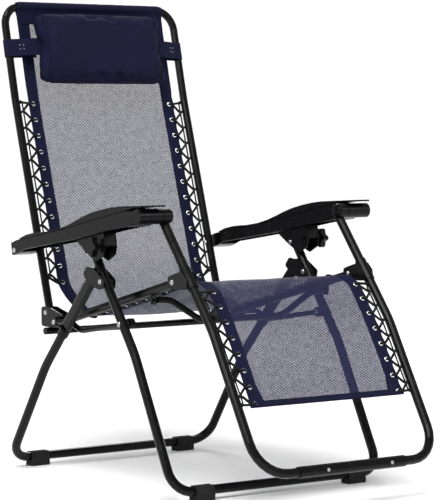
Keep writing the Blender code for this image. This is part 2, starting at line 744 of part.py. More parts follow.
def pillow():
    """The headrest cushion, a soft box in front of the back sling's top."""
    tilt = math.atan2(0.0547, 0.2241)
    bm = bmesh.new()
    bmesh.ops.create_cube(bm, size=1.0)
    bmesh.ops.scale(bm, verts=bm.verts, vec=(2 * PILLOW_HALF, 0.052, 0.172))
    bmesh.ops.subdivide_edges(bm, edges=bm.edges, cuts=1, use_grid_fill=True)
    for vert in bm.verts:
        rim = max(abs(vert.co.x) / PILLOW_HALF, abs(vert.co.z) / 0.086)
        vert.co.y *= 1.0 if rim < 0.9 else 0.45
    mesh = bpy.data.meshes.new("headrest_pillow")
    bm.to_mesh(mesh)
    bm.free()
    cushion = place("headrest_pillow", mesh)
    smooth = cushion.modifiers.new("soft", "SUBSURF")
    smooth.levels = 2
    smooth.render_levels = 2
    cushion.location = at(0.0, (-0.4460, 1.0000))
    cushion.rotation_euler = (-tilt, 0.0, 0.0)
    return bake(cushion, "navy_fabric", smooth_deg=60)


# ------------------------------------------------------------------- assembly

def build():
    front_legs()
    hang(pivot("rear_leg_joint", SCISSOR_PIVOT), rear_legs())
    hang(pivot("link_front_joint", LINK_FRONT_PIVOT), recline_links() + link_front_bolts())
    hang(pivot("seat_joint", LINK_REAR_PIVOT), seat_frame() + [seat_sling()])
    hang(pivot("back_joint", BACK_PIVOT),
         [back_frame(), back_sling(), pillow()] + back_pivot_bolts())
    hang(pivot("knee_joint", KNEE_PIVOT), leg_frame() + [leg_sling()] + knee_bolts())
    hang(pivot("armrest_joint", ARM_REAR_PIVOT), armrests() + armrest_bolts())
    hang(pivot("lock_joint", LOCK_PIVOT), lock_brackets() + lock_bolts())
    for side, sign in SIDES.items():
        hang(pivot("knob_joint_" + side, KNOB_CENTRE), [lock_knob(side, sign)])
    for leftover in list(CUTTERS.objects):
        leftover.hide_render = True
        leftover.display_type = "WIRE"


build()
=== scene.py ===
import json
import math

import bmesh
import bpy
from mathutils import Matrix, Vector, noise


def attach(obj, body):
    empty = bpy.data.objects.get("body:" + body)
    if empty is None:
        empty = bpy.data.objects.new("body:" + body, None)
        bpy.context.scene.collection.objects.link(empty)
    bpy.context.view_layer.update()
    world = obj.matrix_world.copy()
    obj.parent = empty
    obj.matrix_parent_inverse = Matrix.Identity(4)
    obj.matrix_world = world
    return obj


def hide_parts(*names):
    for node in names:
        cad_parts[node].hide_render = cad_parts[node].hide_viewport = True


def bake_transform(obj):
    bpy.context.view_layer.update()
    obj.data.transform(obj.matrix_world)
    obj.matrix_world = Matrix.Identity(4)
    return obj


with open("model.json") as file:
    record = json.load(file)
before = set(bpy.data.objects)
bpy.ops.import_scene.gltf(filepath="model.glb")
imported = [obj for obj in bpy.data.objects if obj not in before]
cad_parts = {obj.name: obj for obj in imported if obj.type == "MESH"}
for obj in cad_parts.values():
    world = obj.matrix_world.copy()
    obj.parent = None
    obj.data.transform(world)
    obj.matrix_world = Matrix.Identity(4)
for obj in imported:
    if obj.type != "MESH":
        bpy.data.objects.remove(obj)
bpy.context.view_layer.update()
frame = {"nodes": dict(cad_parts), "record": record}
nodes = frame["nodes"]
PI2 = 2 * math.pi
SIDES = (("right", -1), ("left", 1))

# ------------------------------------------------------------------ dimensions
# Metres. Side views are (forward, height); right is -X and left is +X. A place on the sling is
# (u, run): across the chair, and down the cloth from its top end.

BACK_TUBE_X = 0.248  # centre lines of the back's side tubes
BACK_TUBE = 0.0095
ROD_X = 0.2305  # thin rods that hold the lacing
EYELET_X = 0.2000
EYELET_HOLE = 0.0029
BAND_IN = 0.1805  # inner edge of the side bands
SLING_EDGE = 0.2130  # their outer edge
MESH_EDGE = 0.1840  # the mesh runs a little way under them
BAND_THICK = 0.0018
PITCH = 0.0400  # between eyelets
CORD = 0.0030
HEM_GAP = 0.004  # the mesh stops this far above the hem's fold

RAIL_REAR = Vector((-0.2430, 0.3587))
KNEE = Vector((0.2115, 0.4755))
BACK_FOOT, BACK_BEND, BACK_TOP = (Vector(p) for p in (
    (-0.2963, 0.3625), (-0.4508, 0.8764), (-0.5055, 1.1005)))
LEG_TOP, LEG_BEND, LEG_BAR = (Vector(p) for p in (
    (0.1590, 0.6050), (0.3386, 0.3782), (0.5063, 0.0853)))


def at(x, point):
    """A side-view point or direction, moved across the chair."""
    return Vector((x, -point[0], point[1]))


def on(a, b, height):
    """The point of the line a-b at a height."""
    return a.lerp(b, (height - a.y) / (b.y - a.y))


def rail(forward):
    """A point of the seat rail's centre line."""
    return RAIL_REAR.lerp(KNEE, (forward - RAIL_REAR.x) / (KNEE.x - RAIL_REAR.x))


# ------------------------------------------------------------------- materials

class Shade:
    """A material whose nodes are added by short calls."""

    def __init__(self, name, colour, rough, metal=0.0, **sockets):
        self.mat = bpy.data.materials.new(name)
        self.mat.use_nodes = True
        self.tree = self.mat.node_tree
        self.shader = self.tree.nodes["Principled BSDF"]
        self.set("Base Color", (*colour, 1.0))
        self.set("Roughness", rough)
        self.set("Metallic", metal)
        for key, value in sockets.items():
            self.set(key.replace("_", " "), value)
        self.coords = self.add("ShaderNodeTexCoord").outputs["Object"]

    def set(self, key, value):
        if hasattr(value, "links"):
            self.tree.links.new(value, self.shader.inputs[key])
        else:
            self.shader.inputs[key].default_value = value

    def add(self, kind, inputs=(), **settings):
        node = self.tree.nodes.new(kind)
        for key, value in settings.items():
            setattr(node, key, value)
        for key, value in dict(inputs).items():
            if hasattr(value, "links"):
                self.tree.links.new(value, node.inputs[key])
            else:
                node.inputs[key].default_value = value
        return node

    def attribute(self, name):
        return self.add("ShaderNodeAttribute", attribute_name=name).outputs["Vector"]

    def noise(self, scale, detail=2.0, vector=None):
        return self.add("ShaderNodeTexNoise", {
            "Vector": vector or self.coords, "Scale": scale, "Detail": detail}).outputs["Fac"]

    def cells(self, scale):
        return self.add("ShaderNodeTexVoronoi", {
            "Vector": self.coords, "Scale": scale}).outputs["Distance"]

    def math(self, operation, a, b=0.0, c=0.0):
        inputs = {0: a, 1: b, 2: c}
        return self.add("ShaderNodeMath", inputs, operation=operation).outputs[0]

    def ramp(self, value, low, high, out_low=0.0, out_high=1.0):
        return self.add("ShaderNodeMapRange", {
            "Value": value, "From Min": low, "From Max": high,
            "To Min": out_low, "To Max": out_high}).outputs["Result"]

    def mix(self, share, a, b):
        def solid(c):
            return c if hasattr(c, "links") else (*c, 1.0)
        return self.add("ShaderNodeMix", {"Factor": share, 6: solid(a), 7: solid(b)},
                        data_type="RGBA").outputs[2]

    def split(self, vector):
        return self.add("ShaderNodeSeparateXYZ", {"Vector": vector}).outputs

    def bump(self, height, distance, strength=1.0, after=None):
        inputs = {"Height": height, "Distance": distance, "Strength": strength}
        if after:
            inputs["Normal"] = after
        return self.add("ShaderNodeBump", inputs).outputs["Normal"]

    def triangle(self, value, period):
        """0 at each multiple of the period, 1 halfway between."""
        return self.math("DIVIDE", self.math("PINGPONG", value, period / 2), period / 2)


def tint(colour, share):
    return tuple(c * share for c in colour)


def powder_coat():
    s = Shade("satin_black_powder_coat", (0.004, 0.004, 0.004), 0.22, Specular_IOR_Level=0.17)
    scuff = s.ramp(s.math("MULTIPLY", s.noise(14, 3), s.noise(160, 4)), 0.34, 0.46)
    s.set("Base Color", s.mix(scuff, (0.0022, 0.0022, 0.0025), (0.0075, 0.0075, 0.0082)))
    s.set("Roughness", s.math("ADD", s.ramp(s.noise(30, 3), 0.3, 0.7, 0.17, 0.27),
                              s.math("MULTIPLY", scuff, 0.12)))
    fine = s.bump(s.noise(900, 2), 0.00012, 0.5)
    s.set("Normal", s.bump(s.noise(260, 2), 0.0002, 0.35, fine))
    return s.mat


def moulded_plastic(name, colour, rough):
    s = Shade(name, colour, rough, Specular_IOR_Level=0.13)
    worn = s.ramp(s.noise(22, 4), 0.52, 0.75)
    s.set("Base Color", s.mix(worn, colour, tint(colour, 1.9)))
    s.set("Roughness", s.ramp(s.noise(45, 3), 0.3, 0.7, rough - 0.06, rough + 0.08))
    s.set("Normal", s.bump(s.cells(750), 0.00018, 0.4))
    return s.mat


def rubber():
    s = Shade("moulded_rubber_foot", (0.005, 0.005, 0.005), 0.7, Specular_IOR_Level=0.25)
    rib_pitch = 0.0054
    rib = s.ramp(s.triangle(s.split(s.coords)[0], rib_pitch), 0.25, 0.6)
    dust = s.ramp(s.noise(60, 4), 0.5, 0.8)
    s.set("Base Color", s.mix(dust, (0.0045, 0.0045, 0.0048), (0.012, 0.0118, 0.0112)))
    s.set("Roughness", s.ramp(s.noise(90, 2), 0.3, 0.7, 0.55, 0.8))
    s.set("Normal", s.bump(rib, 0.0014, 0.9, s.bump(s.noise(700, 2), 0.0002, 0.5)))
    return s.mat


def steel(name, colour, rough):
    s = Shade(name, colour, rough, 1.0)
    stain = s.ramp(s.noise(300, 3), 0.45, 0.75)
    s.set("Base Color", s.mix(stain, colour, tint(colour, 0.62)))
    s.set("Roughness", s.ramp(s.noise(420, 2), 0.3, 0.7, rough - 0.05, rough + 0.12))
    s.set("Normal", s.bump(s.noise(1500, 1), 0.0001, 0.3))
    return s.mat


def oxford(name, colour, vector_name=None, period=0.0013, stitches=()):
    """Plain-woven polyester, with a row of stitches on both sides at each distance listed."""
    stitch_half, stitch_pitch = 0.00055, 0.0036
    s = Shade(name, colour, 0.78, Sheen_Weight=0.04, Sheen_Roughness=0.45,
              Sheen_Tint=(0.26, 0.30, 0.70, 1.0), Specular_IOR_Level=0.14)
    vector = s.attribute(vector_name) if vector_name else s.coords
    x, y, z = s.split(vector)[:3]
    down = y if vector_name else z
    over = s.math("MULTIPLY", s.math("SINE", s.math("MULTIPLY", x, PI2 / period)),
                  s.math("SINE", s.math("MULTIPLY", down, PI2 / period)))
    fade = s.noise(18, 4)
    slub = s.noise(260, 3)
    shade = s.mix(s.ramp(fade, 0.35, 0.7), tint(colour, 0.82), tint(colour, 1.25))
    shade = s.mix(s.math("MULTIPLY", s.ramp(slub, 0.45, 0.75), 0.45), shade,
                  tint(colour, 1.7))
    normal = s.bump(over, 0.00022, 0.6, s.bump(slub, 0.0004, 0.4))
    for row in stitches:
        off_row = s.math("SUBTRACT", s.math("ABSOLUTE", x), row)
        near = s.math("LESS_THAN", s.math("ABSOLUTE", off_row), stitch_half)
        dash = s.math("GREATER_THAN", s.triangle(down, stitch_pitch), 0.30)
        stitch = s.math("MULTIPLY", near, dash)
        shade = s.mix(stitch, shade, tint(colour, 2.6))
        normal = s.bump(stitch, 0.0005, 0.8, normal)
    s.set("Base Color", shade)
    s.set("Roughness", s.ramp(slub, 0.3, 0.7, 0.68, 0.86))
    s.set("Normal", normal)
    return s.mat


# Painted shade: between these runs the mesh closes up, by this share of the yarns' spacing, to
# darken the seat and the leg rest. Grazing view and shade cause that darker look, not a denser
# weave.
SEAT_SHADE_RUNS, SEAT_SHADE_CLOSES = (0.59, 0.76), 0.095
LEG_SHADE_RUNS, LEG_SHADE_CLOSES = (1.28, 1.36), 0.060


def open_mesh(name, colour):
    """PVC-coated yarn in an open weave with a diagonal twill; light passes between the yarns."""
    yarn_pitch, twill_pitch = 0.0021, 0.0086
    s = Shade(name, colour, 0.5, Specular_IOR_Level=0.22)
    x, y = s.split(s.attribute("cloth"))[:2]
    diagonal = s.math("SINE", s.math("MULTIPLY", s.math("SUBTRACT", x, y), PI2 / twill_pitch))
    patchy = s.ramp(s.noise(60, 3, s.attribute("cloth")), 0.35, 0.7, -0.03, 0.03)
    # painted shade: more yarn covers the gaps over the seat and the leg rest, which darkens them
    painted_shade_cover = s.math("ADD", s.ramp(y, *SEAT_SHADE_RUNS, 0.0, SEAT_SHADE_CLOSES),
                   s.ramp(y, *LEG_SHADE_RUNS, 0.0, LEG_SHADE_CLOSES))
    width = s.math("ADD", s.math("MULTIPLY_ADD", diagonal, 0.13, 0.485),
                   s.math("ADD", patchy, painted_shade_cover))
    warp_at, weft_at = s.triangle(x, yarn_pitch), s.triangle(y, yarn_pitch)
    warp = s.math("LESS_THAN", warp_at, width)
    weft = s.math("LESS_THAN", weft_at, width)
    s.set("Alpha", s.math("MAXIMUM", warp, weft))
    round_yarn = s.math("MAXIMUM", s.math("SUBTRACT", 1.0, warp_at),
                        s.math("SUBTRACT", 1.0, weft_at))
    tone = s.ramp(s.noise(900, 2, s.attribute("cloth")), 0.3, 0.7)
    s.set("Base Color", s.mix(tone, tint(colour, 0.8), tint(colour, 1.35)))
    s.set("Roughness", s.ramp(diagonal, -1, 1, 0.40, 0.58))
    s.set("Normal", s.bump(round_yarn, 0.0004, 0.7))
    return s.mat


def bungee():
    """A braided sleeve: two sets of strands that wind opposite ways round the cord."""
    strand_pitch = 0.0028
    s = Shade("braided_black_cord", (0.004, 0.004, 0.005), 0.62, Specular_IOR_Level=0.2)
    turn, run = s.split(s.attribute("cloth"))[:2]
    one_way, other_way = (
        s.math("SINE", s.math("MULTIPLY_ADD", run, PI2 / strand_pitch, round_cord))
        for round_cord in (turn, s.math("MULTIPLY", turn, -1.0)))
    braid = s.math("MULTIPLY", one_way, other_way)
    # painted light and shade: the braid's raised crossings are painted lighter and the hollows
    # between strands darker
    s.set("Base Color", s.mix(s.ramp(braid, 0.1, 0.9), (0.0020, 0.0020, 0.0026),
                              (0.0075, 0.0075, 0.0090)))
    s.set("Roughness", s.ramp(s.noise(800, 2), 0.3, 0.7, 0.5, 0.72))
    s.set("Normal", s.bump(braid, 0.0003, 0.7))
    return s.mat


NAVY = (0.0023, 0.0028, 0.0175)
FRAME_PAINT = powder_coat()
PLASTIC = moulded_plastic("satin_black_plastic", (0.0020, 0.0020, 0.0023), 0.24)
RUBBER = rubber()
BOLT_STEEL = steel("zinc_plated_steel", (0.42, 0.42, 0.43), 0.27)
NICKEL = steel("nickel_plated_eyelet", (0.80, 0.80, 0.81), 0.18)
PILLOW_CLOTH = oxford("navy_oxford", NAVY)
BAND_CLOTH = oxford("navy_band", NAVY, "cloth", stitches=(0.1835, 0.1865, 0.2105))
HEM_CLOTH = oxford("navy_hem", NAVY, "cloth", stitches=(0.2115,))
STRAP_CLOTH = oxford("navy_webbing", NAVY, "cloth", 0.0016, stitches=(0.0178,))
THREAD = oxford("pale_thread", (0.30, 0.30, 0.33))
MESH = open_mesh("navy_grey_open_mesh", (0.0080, 0.0088, 0.0370))
CORD_MAT = bungee()
SLOT_FINISH = {"frame_paint": FRAME_PAINT, "black_plastic": PLASTIC, "foot_rubber": RUBBER,
               "bolt_steel": BOLT_STEEL, "mesh_fabric": MESH, "navy_fabric": PILLOW_CLOTH}

for part in frame["record"]["subparts"]:
    data = nodes[part["node"]].data
    data.materials.clear()
    data.materials.append(SLOT_FINISH[part["material_slot"]])


# --------------------------------------------------------------------- helpers

def piece(name, bm, finish, cloth=None):
    """An object from a bmesh; cloth lists each vertex's place in the flat cloth."""
    mesh = bpy.data.meshes.new(name)
    bm.to_mesh(mesh)
    bm.free()
    obj = bpy.data.objects.new(name, mesh)
    bpy.context.scene.collection.objects.link(obj)
    mesh.materials.append(finish)
    if cloth:
        spot = mesh.attributes.new("cloth", "FLOAT_VECTOR", "POINT")
        spot.data.foreach_set("vector", [c for p in cloth for c in p])
    mesh.shade_smooth()
    return obj


def apply_modifiers(obj):
    """Turns what the modifiers make into the object's own mesh."""
    bpy.context.view_layer.update()
    evaluated = obj.evaluated_get(bpy.context.evaluated_depsgraph_get())
    mesh = bpy.data.meshes.new_from_object(evaluated)
    obj.modifiers.clear()
    obj.data = mesh
    return obj


def smooth_line(points, steps):
    """A Catmull-Rom curve through the points."""
    ends = [points[0] * 2 - points[1]] + list(points) + [points[-1] * 2 - points[-2]]
    line = []
    for a, b, c, d in zip(ends, ends[1:], ends[2:], ends[3:]):
        for i in range(steps):
            t = i / steps
            line.append(0.5 * (2 * b + (c - a) * t + (2 * a - 5 * b + 4 * c - d) * t * t
                               + (3 * b - a - 3 * c + d) * t ** 3))
    line.append(points[-1].copy())
    return line


def rope(name, path, radius, finish):
    """A round cord along a path, with its own length and turn kept for the braid."""
    sides = 8
    bm = bmesh.new()
    cloth, rings, run = [], [], 0.0
    side = None
    for i, p in enumerate(path):
        ahead = (path[min(i + 1, len(path) - 1)] - path[max(i - 1, 0)]).normalized()
        side = side or ahead.orthogonal().normalized()
        side = (side - ahead * side.dot(ahead)).normalized()
        across = ahead.cross(side)
        if i:
            run += (p - path[i - 1]).length
        ring = []
        for k in range(sides):
            turn = PI2 * k / sides
            arm = side * math.cos(turn) + across * math.sin(turn)
            ring.append(bm.verts.new(p + arm * radius))
            cloth.append((turn, run, 0.0))
        rings.append(ring)
    for a, b in zip(rings, rings[1:]):
        for k in range(sides):
            bm.faces.new((a[k], a[(k + 1) % sides], b[(k + 1) % sides], b[k]))
    bm.faces.new(rings[0][::-1])
    bm.faces.new(rings[-1])
    return piece(name, bm, finish, cloth)


# ----------------------------------------------------------------------- sling

# The sling's edge from the top bar, down the back, along the seat and down the leg rest.
EDGE_POINTS = [
    on(BACK_BEND, BACK_TOP, 1.0960), on(BACK_BEND, BACK_TOP, 1.0000),
    on(BACK_BEND, BACK_TOP, 0.9000), on(BACK_FOOT, BACK_BEND, 0.8300),
    on(BACK_FOOT, BACK_BEND, 0.7200),
    on(BACK_FOOT, BACK_BEND, 0.6000), on(BACK_FOOT, BACK_BEND, 0.5000),
    on(BACK_FOOT, BACK_BEND, 0.4450), Vector((-0.2990, 0.4210)), Vector((-0.2650, 0.3985)),
    Vector((-0.2250, 0.3790)), rail(-0.180), rail(-0.100), rail(0.0), rail(0.100),
    rail(0.165), Vector((0.2080, 0.4715)), Vector((0.2270, 0.4745)), Vector((0.2480, 0.4710)),
    on(LEG_TOP, LEG_BEND, 0.4540), on(LEG_TOP, LEG_BEND, 0.4200), Vector((0.3300, 0.3860)),
    Vector((0.3570, 0.3440)), on(LEG_BEND, LEG_BAR, 0.3000), on(LEG_BEND, LEG_BAR, 0.2200)]
LINE = smooth_line(EDGE_POINTS, 24)
REACH = [0.0]
for a, b in zip(LINE, LINE[1:]):
    REACH.append(REACH[-1] + (b - a).length)
LENGTH = REACH[-1]


def place_at(run):
    """The edge profile's point and its sitter-side normal, a distance down from the top."""
    run = min(max(run, 0.0), LENGTH - 1e-6)
    low, high = 0, len(REACH) - 1
    while high - low > 1:
        middle = (low + high) // 2
        low, high = (middle, high) if REACH[middle] <= run else (low, middle)
    a, b = LINE[low], LINE[high]
    ahead = (LINE[min(high + 3, len(LINE) - 1)] - LINE[max(low - 3, 0)]).normalized()
    return a.lerp(b, (run - REACH[low]) / (REACH[high] - REACH[low])), Vector((-ahead.y, ahead.x))


def nearest(point):
    """The run of the edge's point nearest to a side-view point."""
    best = min(range(len(LINE)), key=lambda i: (LINE[i] - Vector(point)).length)
    return REACH[best]


BACK_FIRST = nearest(on(BACK_FOOT, BACK_BEND, 0.866))
BACK_LAST = nearest(on(BACK_FOOT, BACK_BEND, 0.444))
BACK_SEAM = nearest((-0.2990, 0.4210))
SEAT_FIRST = nearest(rail(-0.178))
SEAT_MIDDLE = nearest(rail(0.0))
SEAT_LAST = nearest(rail(0.176))
KNEE_SEAM = nearest((0.2270, 0.4745))
LEG_FIRST = nearest(on(LEG_TOP, LEG_BEND, 0.4550))
LEG_LAST = nearest(on(LEG_BEND, LEG_BAR, 0.2265))


def spread(first, last):
    """Even places from first to last, about a pitch apart."""
    count = round((last - first) / PITCH) + 1
    return [first + (last - first) * i / (count - 1) for i in range(count)]


BACK_EYELETS = spread(BACK_FIRST, BACK_LAST)
SEAT_EYELETS = spread(SEAT_FIRST, SEAT_LAST)
LEG_EYELETS = spread(LEG_FIRST, LEG_LAST)
ALL_EYELETS = BACK_EYELETS + SEAT_EYELETS + LEG_EYELETS


def hump(run, low, high):
    """0 outside a stretch, 1 at its middle, smooth."""
    t = min(max((run - low) / (high - low), 0.0), 1.0)
    return math.sin(math.pi * t) ** 2 if 0 < t < 1 else 0.0


def sag(run):
    """How deep the cloth's middle hangs in each of its three stretches."""
    return (0.007 * hump(run, -0.05, BACK_LAST) + 0.018 * hump(run, SEAT_FIRST - 0.10, KNEE_SEAM)
            + 0.005 * hump(run, LEG_FIRST, LENGTH + 0.05))


def eyelet_wave(run, beyond):
    """1 at each eyelet and -1 halfway between them; beyond the last one, a value given."""
    near = min(ALL_EYELETS, key=lambda v: abs(v - run))
    return math.cos(PI2 * (run - near) / PITCH) if abs(run - near) < PITCH else beyond


def pull(u, run):
    """Small puckers that run in from the eyelets."""
    calm = 0.105
    rim = max(0.0, (abs(u) - calm) / (SLING_EDGE - calm))
    wave = eyelet_wave(run, 0.0)
    drift = noise.noise(Vector((u * 9, run * 9, 3.0)))
    fine = noise.noise(Vector((u * 30, run * 30, 7.0)))
    return 0.0006 * wave * rim * rim + 0.0016 * drift * (1 - rim) + 0.0005 * fine


def cloth_at(u, run, lift=0.0):
    """A point of the sling: across, down its length, and lifted off it on the sitter's side."""
    point, normal = place_at(run)
    depth = sag(run) * (1 - (u / SLING_EDGE) ** 2)
    return at(u, point + normal * (lift + pull(u, run) - depth))


def cloth_frame(u, run):
    """Across, down and out directions of the sling at a point."""
    e = 0.0015
    across = (cloth_at(u + e, run) - cloth_at(u - e, run)).normalized()
    down = (cloth_at(u, run + e) - cloth_at(u, run - e)).normalized()
    out = across.cross(down).normalized()
    if out.dot(at(0.0, place_at(run)[1])) < 0:
        out = -out
    return across, down, out


def mesh_panel(name, us, runs):
    bm = bmesh.new()
    rows, cloth = [], []
    for run in runs:
        rows.append([bm.verts.new(cloth_at(u, run)) for u in us])
        cloth += [(u, run, 0.0) for u in us]
    for a, b in zip(rows, rows[1:]):
        for i in range(len(us) - 1):
            bm.faces.new((a[i], a[i + 1], b[i + 1], b[i]))
    return piece(name, bm, MESH, cloth)


def steps(low, high, size):
    """Even places from low to high, no more than a size apart."""
    count = max(1, math.ceil((high - low) / size))
    return [low + (high - low) * i / count for i in range(count + 1)]


def band_edges(run):
    """Inner and outer edge of the side band, scalloped between eyelets and wider at the hem."""
    deep, widen, widen_over = 0.0012, 0.010, 0.045
    scallop = deep * (1 - eyelet_wave(run, 1.0)) / 2
    flare = widen * max(0.0, 1 - (LENGTH - run) / widen_over)
    return BAND_IN - flare, SLING_EDGE - scallop


def band(name, side, low, high, holes):
    """The sewn side band, with a real hole at each eyelet.

    It is drawn flat as plain strips and, round each hole, a square patch of rings of faces.
    """
    columns, row, patch_half = 6, 0.006, 0.0125
    bm = bmesh.new()
    known = {}
    faces = []

    def vert(u, run):
        key = (round(u, 6), round(run, 6))
        if key not in known:
            known[key] = bm.verts.new((u, run, 0.0))
        return known[key]

    def border(s, t, va, vb):
        run = va + (vb - va) * t
        inner, outer = band_edges(run)
        return inner + (outer - inner) * s, run

    def strip(va, vb):
        levels = steps(va, vb, row)
        for ra, rb in zip(levels, levels[1:]):
            for i in range(columns):
                corners = ((i, 0), (i + 1, 0), (i + 1, 1), (i, 1))
                faces.append([vert(*border(s / columns, t, ra, rb)) for s, t in corners])

    shares = [i / columns for i in range(columns)]
    rim = ([(k, 0) for k in shares] + [(1, k) for k in shares]
           + [(1 - k, 1) for k in shares] + [(0, 1 - k) for k in shares])
    cursor = low
    for centre in [v for v in holes if low + patch_half < v < high - patch_half]:
        va, vb = centre - patch_half, centre + patch_half
        strip(cursor, va)
        outer = [border(s, t, va, vb) for s, t in rim]
        angles = [math.atan2(v - centre, u - EYELET_X) for u, v in outer]
        hole = [(EYELET_X + EYELET_HOLE * math.cos(a), centre + EYELET_HOLE * math.sin(a))
                for a in angles]
        layers = [[(h[0] + (o[0] - h[0]) * k, h[1] + (o[1] - h[1]) * k)
                   for h, o in zip(hole, outer)] for k in (0.0, 0.22, 0.55)] + [outer]
        for a, b in zip(layers, layers[1:]):
            for i in range(len(rim)):
                j = (i + 1) % len(rim)
                faces.append([vert(*a[i]), vert(*b[i]), vert(*b[j]), vert(*a[j])])
        cursor = vb
    strip(cursor, high)
    for corners in faces:
        if len(set(corners)) == 4:
            bm.faces.new(corners)
    bm.verts.index_update()
    cloth = [(v.co.x * side, v.co.y, 0.0) for v in bm.verts]
    for v, (u, run, _) in zip(bm.verts, cloth):
        v.co = cloth_at(u, run)
    bmesh.ops.recalc_face_normals(bm, faces=bm.faces)
    obj = piece(name, bm, BAND_CLOTH, cloth)
    skin = obj.modifiers.new("thickness", "SOLIDIFY")
    skin.thickness = BAND_THICK
    skin.offset = 0.0
    skin.use_even_offset = True
    return apply_modifiers(obj)


# Half a section of the rolled ring: (from its axis, above the cloth).
EYELET_PROFILE = [(0.0028, -0.0012), (0.0034, -0.0017), (0.0050, -0.0016), (0.0060, -0.0010),
                  (0.0060, 0.0010), (0.0050, 0.0017), (0.0036, 0.0018), (0.0028, 0.0012)]


def eyelets(name, side, runs):
    """Rolled metal rings set in the band."""
    sides = 20
    bm = bmesh.new()
    for run in runs:
        centre = cloth_at(side * EYELET_X, run)
        across, down, out = cloth_frame(side * EYELET_X, run)
        rings = []
        for k in range(sides):
            turn = PI2 * k / sides
            arm = across * math.cos(turn) + down * math.sin(turn)
            rings.append([bm.verts.new(centre + arm * r + out * z) for r, z in EYELET_PROFILE])
        for a, b in zip(rings, rings[1:] + rings[:1]):
            for i in range(len(EYELET_PROFILE)):
                j = (i + 1) % len(EYELET_PROFILE)
                bm.faces.new((a[i], b[i], b[j], a[j]))
    bmesh.ops.recalc_face_normals(bm, faces=bm.faces)
    return piece(name, bm, NICKEL)


# How a lace passes an eyelet: (outward from the hole, above the cloth).
LACE_LOOP = ((0.0115, 0.0030), (0.0045, 0.0042), (-0.0002, 0.0026),
             (-0.0004, -0.0026), (0.0045, -0.0042), (0.0115, -0.0030))
LACE_TURN = 0.0040  # from the rod's centre line to the lace wound round it
LACE_END = 0.0042  # the same at the lace's two ends


def rod_at(side, run, x):
    """A point beside the edge of the sling, across the chair at x."""
    return at(side * x, place_at(run)[0])


def lacing(name, side, runs, first, last):
    """Bungee cord that runs rod, eyelet, rod all along one edge of one stretch."""
    half_turn, tuck = 0.0022, 0.0005
    outward = Vector((side, 0.0, 0.0))
    points = [rod_at(side, first, ROD_X + LACE_END)]
    for i, run in enumerate(runs):
        out = cloth_frame(side * EYELET_X, run)[2]
        hole = cloth_at(side * EYELET_X, run)
        points += [hole + outward * a + out * b for a, b in LACE_LOOP]
        if i + 1 < len(runs):
            middle = (run + runs[i + 1]) / 2
            normal = at(0.0, place_at(middle)[1])
            points += [rod_at(side, middle - half_turn, ROD_X - tuck) - normal * LACE_TURN,
                       rod_at(side, middle, ROD_X + LACE_TURN),
                       rod_at(side, middle + half_turn, ROD_X - tuck) + normal * LACE_TURN]
    points.append(rod_at(side, last, ROD_X + LACE_END))
    return rope(name, smooth_line(points, 4), CORD, CORD_MAT)


def knot(name, centre, radius):
    """A lumpy ball, for the pulled-tight knot at a lace's end."""
    bm = bmesh.new()
    bmesh.ops.create_icosphere(bm, subdivisions=3, radius=radius)
    for v in bm.verts:
        way = v.co.normalized()
        v.co *= 1.0 + 0.22 * math.sin(7 * way.x + 3 * way.z) * math.cos(5 * way.y)
        v.co = centre + v.co
    return piece(name, bm, CORD_MAT,
                 [(i % 7, 0.0, 0.0) for i in range(len(bm.verts))])


# Each stretch of the sling: where it starts and ends, its eyelets, and the body they ride.
STRETCHES = {
    "back": (0.0, BACK_SEAM, BACK_EYELETS, "back"),
    "seat_rear": (BACK_SEAM, SEAT_MIDDLE, [v for v in SEAT_EYELETS if v < SEAT_MIDDLE], "seat"),
    "seat_front": (SEAT_MIDDLE, KNEE_SEAM, [v for v in SEAT_EYELETS if v >= SEAT_MIDDLE], "seat"),
    "leg": (KNEE_SEAM, LENGTH, LEG_EYELETS, "leg_rest"),
}
# For each stretch: a first body, a second body, and two runs between which the cloth would go
# over from the first to the second. The sling loop reads these but applies no blend, so the cloth
# stays where it is drawn.
BLENDS = {
    "back": ("back_bolts", "back", BACK_SEAM, BACK_SEAM - 0.05),
    "seat_rear": ("seat", "back_bolts", SEAT_FIRST - 0.02, BACK_SEAM),
    "seat_front": ("seat", "knee_bolts", SEAT_LAST + 0.013, KNEE_SEAM),
    "leg": ("knee_bolts", "leg_rest", KNEE_SEAM, LEG_FIRST - 0.013),
}
CAD_SLING = {"back": "back_sling", "seat_rear": "seat_sling", "seat_front": "seat_sling",
             "leg": "leg_sling"}
sling = {}
for key, (low, high, holes, body) in STRETCHES.items():
    bottom = high - HEM_GAP if key == "leg" else high
    panel = mesh_panel("sling_mesh_" + key, steps(-MESH_EDGE, MESH_EDGE, 0.012),
                       steps(low, bottom, 0.010))
    parts = [panel]
    for word, side in SIDES:
        parts.append(band(f"side_band_{key}_{word}", side, low, high, holes))
    for obj in parts:
        a, b, start, end = BLENDS[key]
        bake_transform(obj)
        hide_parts(CAD_SLING[key])
    rings = []
    for word, side in SIDES:
        ring = eyelets(f"eyelets_{key}_{word}", side, holes)
        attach(ring, body)
        rings.append(ring)
    sling[key] = (panel, parts[1:], rings)

LACING_ENDS = {"back": (BACK_FIRST - 0.004, nearest(on(BACK_FOOT, BACK_BEND, 0.456))),
               "seat": (nearest(rail(-0.180)), nearest(rail(0.168))),
               "leg": (LEG_FIRST - 0.001, nearest(on(LEG_BEND, LEG_BAR, 0.2275)))}
for key, runs, body in (("back", BACK_EYELETS, "back"), ("seat", SEAT_EYELETS, "seat"),
                        ("leg", LEG_EYELETS, "leg_rest")):
    first, last = LACING_ENDS[key]
    for word, side in SIDES:
        cord = lacing(f"lacing_{key}_{word}", side, runs, first, last)
        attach(cord, body)
        for tag, end in (("upper", first), ("lower", last)):
            tied = knot(f"knot_{key}_{tag}_{word}", rod_at(side, end, ROD_X + LACE_TURN), 0.0040)
            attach(tied, body)


# -------------------------------------------------------------- header and hem

